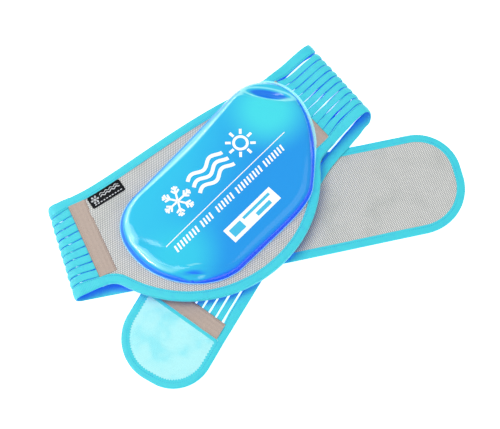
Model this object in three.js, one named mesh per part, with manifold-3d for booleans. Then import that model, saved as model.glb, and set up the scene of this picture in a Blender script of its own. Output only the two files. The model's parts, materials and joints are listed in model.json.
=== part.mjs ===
// Cold compression wrap for the lower back or the abdomen.
//
// A padded pod carries a gel pack. An elastic wing leaves each end of the pod, rolls under
// and comes back behind it, and ends in a fastening tongue: loop mesh on the left wing and a
// hook pad on the right wing. The wrap lies folded on a table.
//
// Millimetres, +Z up. The origin is on the table under the middle of the folded wrap's box. +X
// runs along the pod towards the hook wing and +Y towards the pod's upper edge. The pieces are
// placed from the middle of the pod, and the whole is moved to its origin at the end.

import * as THREE from 'three';
import { mergeVertices } from 'three/addons/utils/BufferGeometryUtils.js';
import Module from 'manifold-3d';

const wasm = await Module();
wasm.setup();

const radians = THREE.MathUtils.degToRad;

// ---- Driving dimensions ----------------------------------------------------------------

const GAP = 0.3; // clearance between neighbouring pieces

// Pod outline
const WING_SWEEP = radians(7.5); // how far a wing points upwards from the pod's axis
const CROWN_HOOK = 12; // control heights of the upper edge's bow over the line between its ends,
const CROWN_LOOP = 0; // a third of the way in from the hook wing and from the loop wing
const DOME_RADIUS = 137; // round lower edge
const DOME_CENTRE_Y = 43;
const NECK_RADIUS = 20; // hollow where the dome meets the wing's lower edge

// Pod layers, from the face down
const POD_FACE_Z = 18;
const MESH_PANEL = 0.8;
const POCKET_LINER = 0.5;
const INSULATION = 1.8;
const OUTER_SHELL = 0.6;

// Bindings and tapes
const POD_BINDING_WIDTH = 10;
const TONGUE_BINDING_WIDTH = 9.5;
const BINDING_CLOTH = 0.6;
const EDGE_COVER = 1.2; // how far the layers stop short of a binding's outer edge
const TAPE_WIDTH = 19;
const TAPE_CLOTH = 0.8;
const SEAM_LAP = 5; // elastic sewn in under a tape

// Elastic
const BAND_COUNT = 9;
const BAND_WIDTH = 7;
const BAND_CLOTH = 1.4;
const EDGE_BAND_WIDTH = 12.4;
const EDGE_BAND_CLOTH = 2;
const ELASTIC_Z = 17.2; // middle of the elastic where it leaves the pod

// Wings. `start` is the middle of the outer edge of the pod's end tape, with x taken outwards
// from the middle of the pod. Lengths run along the elastic from there. From the fold on, the
// elastic spreads or draws in from the pod end's width to the tongue's width.
const LEFT = {
  side: -1,
  start: new THREE.Vector2(130.5, 39.3),
  width: 103.5,
  frontLength: 17.5,
  loopRadius: 7.55,
  foldAxis: radians(104),
  rise: 0,
  turnFrom: Infinity,
  turnRadius: Infinity,
  turnAngle: 0,
  backLength: 202,
  endSkew: 0,
  tongueWidth: 112,
  tongueLength: 197,
  cornerUpper: 46,
  cornerLower: 54,
  tongueDrop: 0,
};
const RIGHT = {
  side: 1,
  start: new THREE.Vector2(141, 41.3),
  width: 107.5,
  frontLength: 46,
  loopRadius: 8.5,
  foldAxis: radians(95.5),
  rise: 5.3,
  turnFrom: 59,
  turnRadius: 190,
  turnAngle: radians(23.7),
  backLength: 283,
  endSkew: radians(6),
  tongueWidth: 99.5,
  tongueLength: 70,
  cornerUpper: 48,
  cornerLower: 41,
  tongueDrop: 3.3,
};
const RISE_FROM = 12; // the right wing starts to climb here
const RISE_TO = 46;

// Tongues
const FLEX_GAP = 3; // cloth hinge between an end tape and its tongue
const TONGUE_CORE = 2.2;
const TONGUE_FACE = 0.7;

// Woven label
const LABEL = { x: -84.6, y: 71.6, length: 39, width: 14, cloth: 0.6, turn: radians(1.5) };

// Gel pack, in its own frame: x along its long sides
const PACK = { x: 26, y: 6.6, z: 19.4, turn: radians(13) };
const PACK_FILM = 0.4;
const PACK_FLANGE = 5.7;
const PACK_HEIGHT = 14; // from the bottom film to the top of the dome
const PACK_SHOULDER = 16; // width of the rounded side

const PACK_WAIST = 0.2; // straight band between the cushion's two round halves

// Facets and cutting solids
const ARC_STEPS = 8; // per curve of an outline
const SHOULDER_STEPS = 5;
const ROLL_STEPS = 8; // round a wing's fold
const TURN_STEPS = 5;
const CLIMB_STEPS = 4;
const RIM_POINTS = 56;
const WELD_DISTANCE = 1e-4;
const CUT_MARGIN = 1; // how far a cutting solid passes what it cuts
const CUTTER_SIZE = 600; // longer than the object

// ---- Materials -------------------------------------------------------------------------

const FINISHES = {
  meshKnit: { color: 0xc6cccb, roughness: 0.9 },
  liner: { color: 0xdfe3e4, roughness: 0.85 },
  batting: { color: 0xf0f0ea, roughness: 1 },
  shell: { color: 0x49cfe6, roughness: 0.85 },
  binding: { color: 0x4bdeee, roughness: 0.7 },
  elastic: { color: 0x52dfee, roughness: 0.75 },
  tape: { color: 0xb9aaa2, roughness: 0.85 },
  label: { color: 0x0b0e12, roughness: 0.6 },
  hook: { color: 0xb8f7fc, roughness: 0.8 },
  core: { color: 0xe6e8e6, roughness: 1 },
  film: { color: 0x59cdf5, roughness: 0.15 },
  gel: { color: 0x1e86f0, roughness: 0.25 },
};

function piece(name, geometry, finish) {
  const material = new THREE.MeshStandardMaterial({ metalness: 0, ...FINISHES[finish] });
  const mesh = new THREE.Mesh(geometry, material);
  mesh.name = name;
  return mesh;
}

// ---- Solids ----------------------------------------------------------------------------

function toSolid(geometry) {
  const bare = geometry.clone();
  bare.deleteAttribute('normal');
  bare.deleteAttribute('uv');
  const merged = mergeVertices(bare, WELD_DISTANCE);
  const vertProperties = merged.attributes.position.array;
  const triVerts = new Uint32Array(merged.index.array);
  return new wasm.Manifold(new wasm.Mesh({ numProp: 3, vertProperties, triVerts }));
}

function toGeometry(solid) {
  const { vertProperties, triVerts } = solid.getMesh();
  const geometry = new THREE.BufferGeometry();
  geometry.setAttribute('position', new THREE.BufferAttribute(vertProperties, 3));
  geometry.setIndex(new THREE.BufferAttribute(triVerts, 1));
  geometry.computeVertexNormals();
  return geometry;
}

function plate(shape, low, high) {
  const options = { depth: high - low, bevelEnabled: false, curveSegments: ARC_STEPS };
  return new THREE.ExtrudeGeometry(shape, options).translate(0, 0, low);
}

// A cloth strip folded over an edge: the zone between two outlines, hollowed for the layers.
function foldedBinding(outer, inner, hollow, low, high) {
  return toSolid(plate(outer, low, high))
    .subtract(toSolid(plate(inner, low - CUT_MARGIN, high + CUT_MARGIN)))
    .subtract(toSolid(plate(hollow, low + BINDING_CLOTH, high - BINDING_CLOTH)));
}

// A large box to cut with, about a centre.
function cutter(x, y, z) {
  const box = new THREE.BoxGeometry(CUTTER_SIZE, CUTTER_SIZE, CUTTER_SIZE);
  return toSolid(box.translate(x, y, z));
}

// ---- Pod -------------------------------------------------------------------------------

// A point on the front of a wing, `along` the wing and `across` it, both from the wing's
// start. Both wings are written as if on the right.
function wingPoint(wing, along, across) {
  const x = along * Math.cos(WING_SWEEP) - across * Math.sin(WING_SWEEP);
  const y = along * Math.sin(WING_SWEEP) + across * Math.cos(WING_SWEEP);
  return new THREE.Vector2(x, y).add(wing.start);
}

// The centre of the neck arc lies on a line parallel to the wing, one neck radius below its
// edge, and one neck radius outside the dome's circle.
function neckCentre(wing) {
  const start = wingPoint(wing, 0, -wing.width / 2 - NECK_RADIUS);
  start.y -= DOME_CENTRE_Y;
  const reach = DOME_RADIUS + NECK_RADIUS;
  const half = start.x * Math.cos(WING_SWEEP) + start.y * Math.sin(WING_SWEEP);
  const along = Math.sqrt(half * half - start.lengthSq() + reach * reach) - half;
  return wingPoint(wing, along, -wing.width / 2 - NECK_RADIUS);
}

// The corners and the neck of one end of the pod's outline, moved in by `inset` and ending
// `reach` past the end tape.
function podEnd(wing, inset, reach) {
  const half = wing.width / 2 - inset;
  const neck = neckCentre(wing);
  return {
    neck,
    domeAngle: Math.atan2(neck.y - DOME_CENTRE_Y, neck.x),
    lower: wingPoint(wing, reach, -half),
    upper: wingPoint(wing, reach, half),
    shoulder: wingPoint(wing, -TAPE_WIDTH, half),
  };
}

function podOutline(inset, reach) {
  const left = podEnd(LEFT, inset, reach);
  const right = podEnd(RIGHT, inset, reach);
  const neckArc = NECK_RADIUS + inset;
  const square = Math.PI / 2;
  const shape = new THREE.Shape();
  shape.moveTo(-left.upper.x, left.upper.y);
  shape.lineTo(-left.lower.x, left.lower.y);
  shape.absarc(-left.neck.x, left.neck.y, neckArc, square - WING_SWEEP, -left.domeAngle, true);
  shape.absarc(0, DOME_CENTRE_Y, DOME_RADIUS - inset, Math.PI - left.domeAngle, right.domeAngle);
  const meet = Math.PI + right.domeAngle;
  shape.absarc(right.neck.x, right.neck.y, neckArc, meet, square + WING_SWEEP, true);
  shape.lineTo(right.lower.x, right.lower.y);
  shape.lineTo(right.upper.x, right.upper.y);
  shape.lineTo(right.shoulder.x, right.shoulder.y);
  const end = new THREE.Vector2(-left.shoulder.x, left.shoulder.y);
  const first = right.shoulder.clone().lerp(end, 1 / 3);
  const second = right.shoulder.clone().lerp(end, 2 / 3);
  shape.bezierCurveTo(first.x, first.y + CROWN_HOOK, second.x, second.y + CROWN_LOOP, end.x, end.y);
  return shape;
}

function podLayers() {
  const cloth = podOutline(EDGE_COVER, -SEAM_LAP);
  const layers = [
    ['pod_mesh_panel', MESH_PANEL, 'meshKnit'],
    ['pod_pocket_liner', POCKET_LINER, 'liner'],
    ['pod_insulation', INSULATION, 'batting'],
    ['pod_outer_shell', OUTER_SHELL, 'shell'],
  ];
  let top = POD_FACE_Z;
  return layers.map(([name, thickness, finish]) => {
    const mesh = piece(name, plate(cloth, top - thickness, top), finish);
    top -= thickness + GAP;
    return mesh;
  });
}

const POD_BACK_Z = POD_FACE_Z - MESH_PANEL - POCKET_LINER - INSULATION - OUTER_SHELL - 3 * GAP;

function podBindings() {
  const ring = foldedBinding(
    podOutline(0, 0),
    podOutline(POD_BINDING_WIDTH, CUT_MARGIN),
    podOutline(EDGE_COVER - GAP, CUT_MARGIN),
    POD_BACK_Z - GAP - BINDING_CLOTH,
    POD_FACE_Z + GAP + BINDING_CLOTH,
  );
  const upperHalf = cutter(0, CUTTER_SIZE / 2, 0);
  return [
    piece('pod_upper_binding', toGeometry(ring.intersect(upperHalf)), 'binding'),
    piece('pod_lower_binding', toGeometry(ring.subtract(upperHalf)), 'binding'),
  ];
}

function wovenLabel() {
  const box = new THREE.BoxGeometry(LABEL.length, LABEL.width, LABEL.cloth);
  const label = piece('woven_label', box, 'label');
  label.position.set(LABEL.x, LABEL.y, POD_FACE_Z + GAP + LABEL.cloth / 2);
  label.rotation.z = LABEL.turn;
  return label;
}

// ---- Wings -----------------------------------------------------------------------------

// Distance along the wing to the outer edge of its outer tape.
function wingEnd(wing) {
  return wing.frontLength + Math.PI * wing.loopRadius + wing.backLength + TAPE_WIDTH;
}

// The width at `along`, as a share of the width at the pod.
function spread(wing, along) {
  const share = (along - wing.frontLength) / (wingEnd(wing) - wing.frontLength);
  return THREE.MathUtils.lerp(1, wing.tongueWidth / wing.width, Math.max(share, 0));
}

// The cut pattern of a wing lies flat, going out from the pod. It is written for the right
// side and mirrored for the left. The wing is then rolled under about its fold axis.
function patternPoint(wing, along, level) {
  const across = level * spread(wing, along);
  if (along <= wing.turnFrom) {
    return wingPoint(wing, along, across);
  }
  const angle = Math.min((along - wing.turnFrom) / wing.turnRadius, wing.turnAngle);
  const centre = wingPoint(wing, wing.turnFrom, -wing.turnRadius);
  const point = wingPoint(wing, wing.turnFrom, across).rotateAround(centre, -angle);
  const rest = along - wing.turnFrom - angle * wing.turnRadius;
  point.x += rest * Math.cos(WING_SWEEP - angle);
  point.y += rest * Math.sin(WING_SWEEP - angle);
  return point;
}

// How far the front of the wing has climbed at `along`.
function climb(wing, along) {
  return wing.rise * THREE.MathUtils.smoothstep(along, RISE_FROM, RISE_TO);
}

// Maps along, across and the height above the elastic's middle plane to a point in space.
function placeOnWing(wing, along, across, height) {
  const outward = new THREE.Vector2(Math.sin(wing.foldAxis), -Math.cos(wing.foldAxis));
  const fold = wingPoint(wing, wing.frontLength, 0);
  const point = patternPoint(wing, along, across);
  const past = point.clone().sub(fold).dot(outward);
  const half = Math.PI * wing.loopRadius;
  const angle = THREE.MathUtils.clamp(past, 0, half) / wing.loopRadius;
  const radius = wing.loopRadius + height;
  const axisZ = ELASTIC_Z + wing.rise - wing.loopRadius;
  let z = axisZ + radius * Math.cos(angle);
  if (past <= 0) {
    z = ELASTIC_Z + climb(wing, along) + height;
  }
  const returned = past > half ? past - half : 0;
  const shift = radius * Math.sin(angle) - returned - Math.max(past, 0);
  point.addScaledVector(outward, shift);
  return new THREE.Vector3(wing.side * point.x, point.y, z);
}

// How far the fold axis leans from square to the wing.
function foldSkew(wing) {
  return wing.foldAxis - Math.PI / 2 - WING_SWEEP;
}

// Where a strip `across` the wing needs a cut so that it can bend: along the climb, round the
// roll and round the turn in its plane.
function stations(wing, across, from, to) {
  const roll = (Math.PI * wing.loopRadius) / Math.cos(foldSkew(wing));
  const start = wing.frontLength - across * Math.tan(foldSkew(wing));
  const list = [from];
  for (let i = 0; wing.rise && i <= CLIMB_STEPS; i++) {
    list.push(RISE_FROM + ((RISE_TO - RISE_FROM) * i) / CLIMB_STEPS);
  }
  for (let i = 0; i <= ROLL_STEPS; i++) {
    list.push(start + (roll * i) / ROLL_STEPS);
  }
  const turnTo = wing.turnFrom + wing.turnRadius * wing.turnAngle;
  for (let i = 1; wing.turnAngle && i <= TURN_STEPS; i++) {
    list.push(THREE.MathUtils.lerp(start + roll, turnTo, i / TURN_STEPS));
  }
  list.push(to);
  return list;
}

// A flat strip of cloth bent along the wing through its stations.
function bentStrip(wing, list, across, height) {
  const steps = list.length - 1;
  const geometry = new THREE.BoxGeometry(steps, 1, 1, steps, 1, 1);
  const position = geometry.attributes.position;
  for (let i = 0; i < position.count; i++) {
    const station = list[Math.round(position.getX(i) + steps / 2)];
    const side = position.getY(i) > 0 ? across[1] : across[0];
    const level = position.getZ(i) > 0 ? height[1] : height[0];
    const shifted = station === list[steps] ? station - side * Math.tan(wing.endSkew) : station;
    const point = placeOnWing(wing, shifted, side, level);
    position.setXYZ(i, point.x, point.y, point.z);
  }
  return wing.side < 0 ? turnedInsideOut(geometry) : geometry;
}

function turnedInsideOut(geometry) {
  const index = geometry.index;
  for (let i = 0; i < index.count; i += 3) {
    const first = index.getX(i);
    index.setX(i, index.getX(i + 1));
    index.setX(i + 1, first);
  }
  geometry.computeVertexNormals();
  return geometry;
}

function elasticBands(wing, prefix) {
  const thickness = [-BAND_CLOTH / 2, BAND_CLOTH / 2];
  const from = GAP - SEAM_LAP;
  const to = wingEnd(wing) - TAPE_WIDTH + SEAM_LAP;
  const free = wing.width - 2 * EDGE_BAND_WIDTH - BAND_COUNT * BAND_WIDTH;
  const pitch = BAND_WIDTH + free / (BAND_COUNT + 1);
  const bands = [];
  for (let i = 0; i < BAND_COUNT; i++) {
    const middle = pitch * ((BAND_COUNT - 1) / 2 - i);
    const across = [middle - BAND_WIDTH / 2, middle + BAND_WIDTH / 2];
    const strip = bentStrip(wing, stations(wing, middle, from, to), across, thickness);
    bands.push(piece(`${prefix}_band_${i + 1}`, strip, 'elastic'));
  }
  return bands;
}

function edgeBands(wing, prefix) {
  const thickness = [-EDGE_BAND_CLOTH / 2, EDGE_BAND_CLOTH / 2];
  const outer = wing.width / 2;
  const middle = outer - EDGE_BAND_WIDTH / 2;
  const upper = bentStrip(wing, stations(wing, middle, GAP, wingEnd(wing)),
    [outer - EDGE_BAND_WIDTH, outer], thickness);
  const lower = bentStrip(wing, stations(wing, -middle, GAP, wingEnd(wing)),
    [-outer, EDGE_BAND_WIDTH - outer], thickness);
  return [
    piece(`${prefix}_upper_edge_band`, upper, 'elastic'),
    piece(`${prefix}_lower_edge_band`, lower, 'elastic'),
  ];
}

// The tape that covers the seam between the pod's layers and the elastic.
function innerTape(wing, prefix) {
  const half = wing.width / 2 - POD_BINDING_WIDTH - GAP;
  const low = POD_FACE_Z + GAP - ELASTIC_Z;
  const strip = bentStrip({ ...wing, endSkew: 0 }, [-TAPE_WIDTH, 0], [-half, half],
    [low, low + TAPE_CLOTH]);
  return piece(`${prefix}_inner_tape`, strip, 'tape');
}

// The tape at the far end of the elastic. It lies on the side that faces up when folded.
function outerTape(wing, prefix) {
  const half = wing.width / 2 - EDGE_BAND_WIDTH - GAP;
  const low = -BAND_CLOTH / 2 - GAP;
  const skewed = (along) => (across) => along - across * Math.tan(wing.endSkew);
  const edges = [skewed(wingEnd(wing) - TAPE_WIDTH), skewed(wingEnd(wing))];
  const geometry = new THREE.BoxGeometry(1, 1, 1);
  const position = geometry.attributes.position;
  for (let i = 0; i < position.count; i++) {
    const across = position.getY(i) > 0 ? half : -half;
    const along = edges[position.getX(i) > 0 ? 1 : 0](across);
    const level = position.getZ(i) > 0 ? low : low - TAPE_CLOTH;
    const point = placeOnWing(wing, along, across, level);
    position.setXYZ(i, point.x, point.y, point.z);
  }
  return piece(`${prefix}_outer_tape`, wing.side < 0 ? turnedInsideOut(geometry) : geometry, 'tape');
}

// ---- Tongues ---------------------------------------------------------------------------

// A tongue's own frame: x along it from its root, z up, y to its left.
function tongueGroup(wing) {
  const end = placeOnWing(wing, wingEnd(wing), 0, 0);
  const before = placeOnWing(wing, wingEnd(wing) - TAPE_WIDTH, 0, 0);
  const x = end.clone().sub(before).normalize();
  const y = new THREE.Vector3(0, 0, 1).cross(x);
  const root = end.addScaledVector(x, FLEX_GAP);
  x.z = -wing.tongueDrop / wing.tongueLength;
  x.normalize();
  const group = new THREE.Group();
  group.quaternion.setFromRotationMatrix(new THREE.Matrix4().makeBasis(x, y, x.clone().cross(y)));
  group.position.copy(root);
  return group;
}

function tongueOutline(wing, inset, root) {
  const half = wing.tongueWidth / 2 - inset;
  const tip = wing.tongueLength - inset;
  const [left, right] = wing.side < 0
    ? [wing.cornerUpper - inset, wing.cornerLower - inset]
    : [wing.cornerLower - inset, wing.cornerUpper - inset];
  const slant = Math.tan(wing.endSkew);
  const shape = new THREE.Shape();
  shape.moveTo(root + half * slant, half);
  shape.lineTo(root - half * slant, -half);
  shape.absarc(tip - right, right - half, right, -Math.PI / 2, 0);
  shape.absarc(tip - left, half - left, left, 0, Math.PI / 2);
  return shape;
}

function tonguePieces(wing, prefix, faceName, faceFinish, backFinish) {
  const core = TONGUE_CORE / 2;
  const faceLow = core + GAP;
  const cloth = tongueOutline(wing, TONGUE_BINDING_WIDTH + GAP, 0);
  const binding = foldedBinding(
    tongueOutline(wing, 0, 0),
    tongueOutline(wing, TONGUE_BINDING_WIDTH, -TAPE_WIDTH),
    tongueOutline(wing, EDGE_COVER - GAP, -TAPE_WIDTH),
    -faceLow - BINDING_CLOTH,
    faceLow + BINDING_CLOTH,
  );
  const group = tongueGroup(wing);
  group.add(
    piece(faceName, plate(cloth, faceLow, faceLow + TONGUE_FACE), faceFinish),
    piece(`${prefix}_tongue_core`, plate(tongueOutline(wing, EDGE_COVER, 0), -core, core), 'core'),
    piece(`${prefix}_tongue_back_face`, plate(cloth, -faceLow - TONGUE_FACE, -faceLow), backFinish),
    piece(`${prefix}_tongue_binding`, toGeometry(binding), 'binding'),
  );
  return group;
}

// ---- Gel pack --------------------------------------------------------------------------

// The pack's rim: a long upper side, a shorter lower side, and a wide cut across the lower
// right corner.
function packRim() {
  const rim = new THREE.Shape();
  rim.moveTo(-78, 65);
  rim.quadraticCurveTo(0, 68, 72, 71);
  rim.bezierCurveTo(104, 72, 126, 50, 121, 18);
  rim.bezierCurveTo(114, -12, 92, -36, 62, -61);
  rim.bezierCurveTo(48, -72, 20, -71, 0, -71);
  rim.lineTo(-56, -70);
  rim.bezierCurveTo(-92, -66, -122, -26, -122, 10);
  rim.bezierCurveTo(-122, 42, -108, 62, -78, 65);
  return rim;
}

// The rim moved out by `distance`, as evenly spaced points.
function packOutline(distance) {
  const points = packRim().getSpacedPoints(RIM_POINTS).slice(0, -1);
  const moved = points.map((point, i) => {
    const before = points[(i + points.length - 1) % points.length];
    const after = points[(i + 1) % points.length];
    const along = after.clone().sub(before).normalize();
    return new THREE.Vector2(point.x - along.y * distance, point.y + along.x * distance);
  });
  return new THREE.Shape(moved);
}

// A cushion with round sides that is cut flat at `base`.
function cushion(distance, base, top) {
  const options = {
    depth: PACK_WAIST,
    bevelThickness: top - PACK_WAIST / 2,
    bevelSize: PACK_SHOULDER,
    bevelSegments: SHOULDER_STEPS,
  };
  const outline = packOutline(distance - PACK_SHOULDER);
  const whole = new THREE.ExtrudeGeometry(outline, options).translate(0, 0, -PACK_WAIST / 2);
  return toSolid(whole).subtract(cutter(0, 0, base - CUTTER_SIZE / 2));
}

function gelPack() {
  const clear = PACK_FILM + GAP;
  const flange = packOutline(PACK_FLANGE);
  const dome = toSolid(plate(flange, clear, clear + PACK_FILM))
    .add(cushion(0, clear, PACK_HEIGHT))
    .subtract(cushion(-PACK_FILM, 0, PACK_HEIGHT - PACK_FILM));
  const gel = cushion(-clear, clear, PACK_HEIGHT - clear);
  const group = new THREE.Group();
  group.position.set(PACK.x, PACK.y, PACK.z);
  group.rotation.z = PACK.turn;
  group.add(
    piece('pack_bottom_film', plate(flange, 0, PACK_FILM), 'film'),
    piece('pack_top_film', toGeometry(dome), 'film'),
    piece('pack_gel', toGeometry(gel), 'gel'),
  );
  return group;
}

// ---- Assembly --------------------------------------------------------------------------

function pod() {
  const group = new THREE.Group();
  group.add(...podLayers(), ...podBindings(), wovenLabel());
  group.add(innerTape(LEFT, 'left'), innerTape(RIGHT, 'right'));
  return group;
}

function elasticWing(wing, prefix) {
  const group = new THREE.Group();
  group.add(...elasticBands(wing, prefix), ...edgeBands(wing, prefix), outerTape(wing, prefix));
  return group;
}

const wrap = new THREE.Group();
wrap.name = 'cold_compression_wrap';
wrap.add(pod());
wrap.add(gelPack());
wrap.add(elasticWing(LEFT, 'left'));
wrap.add(elasticWing(RIGHT, 'right'));
wrap.add(tonguePieces(LEFT, 'left', 'left_tongue_loop_face', 'meshKnit', 'meshKnit'));
wrap.add(tonguePieces(RIGHT, 'right', 'hook_pad', 'hook', 'shell'));

const box = new THREE.Box3().setFromObject(wrap, true);
const middle = box.getCenter(new THREE.Vector3());
wrap.position.set(-middle.x, -middle.y, -box.min.z);

export default wrap;
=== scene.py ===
"""Looks of the cold compression wrap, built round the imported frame.

Lengths are in millimetres in the shape functions and turn to metres in mesh_piece(). Shapes are
written from the middle of the pod; POD, worked out from the frame, moves them into the row frame.
"""
import json
import math
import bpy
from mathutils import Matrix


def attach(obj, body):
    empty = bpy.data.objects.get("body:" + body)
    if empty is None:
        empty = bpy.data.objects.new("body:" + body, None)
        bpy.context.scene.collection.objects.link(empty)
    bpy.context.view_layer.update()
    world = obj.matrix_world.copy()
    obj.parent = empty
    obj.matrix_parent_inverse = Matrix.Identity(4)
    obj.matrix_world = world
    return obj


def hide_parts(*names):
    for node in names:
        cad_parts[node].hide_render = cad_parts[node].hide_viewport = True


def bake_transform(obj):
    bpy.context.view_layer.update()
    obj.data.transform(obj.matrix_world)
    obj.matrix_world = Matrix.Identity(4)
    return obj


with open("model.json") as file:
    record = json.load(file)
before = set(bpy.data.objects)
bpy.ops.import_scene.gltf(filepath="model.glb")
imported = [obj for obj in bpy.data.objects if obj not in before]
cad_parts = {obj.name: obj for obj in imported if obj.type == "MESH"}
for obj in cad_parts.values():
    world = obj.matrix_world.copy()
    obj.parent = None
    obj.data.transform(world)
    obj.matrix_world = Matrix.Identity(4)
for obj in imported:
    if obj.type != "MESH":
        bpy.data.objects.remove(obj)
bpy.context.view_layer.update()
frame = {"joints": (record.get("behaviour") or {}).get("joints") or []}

from types import SimpleNamespace

import bpy
import numpy as np
from mathutils import Vector
from mathutils.bvhtree import BVHTree

MM = 0.001
JOINTS = {j["name"]: j for j in frame["joints"]}
random = np.random.default_rng(7)

# ---- Sizes ------------------------------------------------------------------------------

SWEEP = math.radians(7.5)
DOME_RADIUS, DOME_CENTRE_Y, NECK_RADIUS = 137, 43, 20
CROWN_HOOK = 12
POD_TOP, POD_BOTTOM = 18.9, 12.5
BINDING = 10
TAPE = 19
BANDS, BAND, EDGE_BAND = 9, 7, 12.4
ELASTIC_Z = 17.2
FLEX_GAP = 3
TONGUE_TOP = 1.9  # the binding's half thickness
PACK = SimpleNamespace(x=26, y=6.6, turn=math.radians(13), base=19.4, height=14, flange=5.7)

LEFT = SimpleNamespace(
    name="left", side=-1, start=(130.5, 39.3), width=103.5, front=17.5, radius=7.55,
    fold=math.radians(104), rise=0, turn_from=math.inf, turn_radius=math.inf, turn=0, back=202,
    skew=0, tongue_width=112, tongue_length=197, corners=(54, 46), drop=0, binding=9)
RIGHT = SimpleNamespace(
    name="right", side=1, start=(141, 41.3), width=107.5, front=46, radius=8.5,
    fold=math.radians(95.5), rise=5.3, turn_from=59, turn_radius=190, turn=math.radians(23.7),
    back=283, skew=math.radians(6), tongue_width=99.5, tongue_length=70, corners=(48, 41), drop=3.3,
    binding=8)
RISE_FROM, RISE_TO = 12, 46


def ramp(x, low, high):
    t = np.clip((x - low) / (high - low), 0, 1)
    return t * t * (3 - 2 * t)


def wing_point(wing, along, across):
    cos, sin = math.cos(SWEEP), math.sin(SWEEP)
    return np.stack([wing.start[0] + along * cos - across * sin,
                     wing.start[1] + along * sin + across * cos], axis=-1)


FOLD_JOINT = Vector(JOINTS["left_fold"]["pos_m"]) / MM
LEFT_FOLD = wing_point(LEFT, LEFT.front, 0)
POD = np.array([FOLD_JOINT.x + LEFT_FOLD[0], FOLD_JOINT.y - LEFT_FOLD[1], 0])

# ---- Meshes -----------------------------------------------------------------------------


def mesh_piece(name, points, faces, uv=None, smooth=True):
    """A new object from points (mm, from the middle of the pod), with uv in metres."""
    mesh = bpy.data.meshes.new(name)
    points = (np.asarray(points, float) + POD) * MM
    mesh.from_pydata(points.tolist(), [], [list(map(int, f)) for f in faces])
    if uv is not None:
        layer = mesh.uv_layers.new(name="cloth")
        corner = np.zeros(len(mesh.loops), np.int32)
        mesh.loops.foreach_get("vertex_index", corner)
        layer.data.foreach_set("uv", (np.asarray(uv, float)[corner] * MM).ravel())
    mesh.validate()
    if smooth:
        mesh.shade_smooth()
        mesh.set_sharp_from_angle(angle=math.radians(62))
    piece = bpy.data.objects.new(name, mesh)
    bpy.context.scene.collection.objects.link(piece)
    return piece


def tube_faces(rows, columns, closed=False):
    """Quads of a tube of `rows` rings of `columns` points, with capped ends unless it closes."""
    faces = []
    for i in range(rows if closed else rows - 1):
        a, b = i * columns, (i + 1) % rows * columns
        for j in range(columns):
            k = (j + 1) % columns
            faces.append((a + j, b + j, b + k, a + k))
    if not closed:
        faces.append(tuple(range(columns)))
        faces.append(tuple(range(rows * columns - 1, (rows - 1) * columns - 1, -1)))
    return faces


def outward(piece):
    """Makes the piece's faces point out."""
    bpy.context.view_layer.objects.active = piece
    import bmesh
    work = bmesh.new()
    work.from_mesh(piece.data)
    bmesh.ops.recalc_face_normals(work, faces=work.faces)
    work.to_mesh(piece.data)
    work.free()
    return piece


def finish_piece(piece, material, ride=None, nodes=()):
    outward(piece)
    piece.data.materials.clear()
    piece.data.materials.append(material)
    if ride:
        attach(piece, ride)
    if nodes:
        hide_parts(*nodes)
    return piece


# ---- Wing shapes ------------------------------------------------------------------------


def wing_end(wing):
    return wing.front + math.pi * wing.radius + wing.back + TAPE


def pattern_point(wing, along, across):
    grow = np.clip((along - wing.front) / (wing_end(wing) - wing.front), 0, None)
    across = across * (1 + grow * (wing.tongue_width / wing.width - 1))
    straight = wing_point(wing, along, across)
    if not wing.turn:
        return straight
    angle = np.clip((along - wing.turn_from) / wing.turn_radius, 0, wing.turn)
    centre = wing_point(wing, wing.turn_from, -wing.turn_radius)
    spoke = wing_point(wing, np.full_like(angle, wing.turn_from), across) - centre
    cos, sin = np.cos(angle), np.sin(angle)
    turned = centre + np.stack([spoke[..., 0] * cos + spoke[..., 1] * sin,
                                spoke[..., 1] * cos - spoke[..., 0] * sin], axis=-1)
    rest = np.clip(along - wing.turn_from - angle * wing.turn_radius, 0, None)
    turned += rest[..., None] * np.stack([np.cos(SWEEP - angle), np.sin(SWEEP - angle)], axis=-1)
    return np.where((along <= wing.turn_from)[..., None], straight, turned)


def tuck(wing, along, across):
    """How far the hook wing's lower side is drawn in up to the fold and sags out behind it."""
    low = np.clip(0.5 - across / wing.width, 0, 1) ** 1.5
    drawn = 6.5 * ramp(along, -28, 38) - 9.1 * ramp(along, 44, 75)
    sag = 2.4 * ramp(along, 75, 100) - 5 * ramp(along, 118, 165)
    return low * (drawn - sag) if wing is RIGHT else 0.0 * low


def place(wing, along, across, height):
    """A point on the rolled wing: along and across the elastic, and above its middle plane."""
    along, across, height = np.broadcast_arrays(*[np.asarray(v, float)
                                                  for v in (along, across, height)])
    across = across + tuck(wing, along, across)
    out = np.array([math.sin(wing.fold), -math.cos(wing.fold)])
    point = pattern_point(wing, along, across)
    past = (point - wing_point(wing, wing.front, 0)) @ out
    half = math.pi * wing.radius
    angle = np.clip(past, 0, half) / wing.radius
    reach = wing.radius + height
    climb = wing.rise * ramp(along, RISE_FROM, RISE_TO)
    z = np.where(past <= 0, ELASTIC_Z + climb + height,
                 ELASTIC_Z + wing.rise - wing.radius + reach * np.cos(angle))
    shift = reach * np.sin(angle) - np.clip(past - half, 0, None) - np.clip(past, 0, None)
    point = point + shift[..., None] * out
    return np.stack([wing.side * point[..., 0], point[..., 1], z], axis=-1)


def fold_lines(wing, across):
    """Where the roll starts and ends along a strand `across` the wing."""
    lean = wing.fold - math.pi / 2 - SWEEP
    start = wing.front - across * math.tan(lean)
    return start, start + math.pi * wing.radius / math.cos(lean)


FOLD_MARGIN = 6  # how far a strand's fold piece runs on behind the roll


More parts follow.
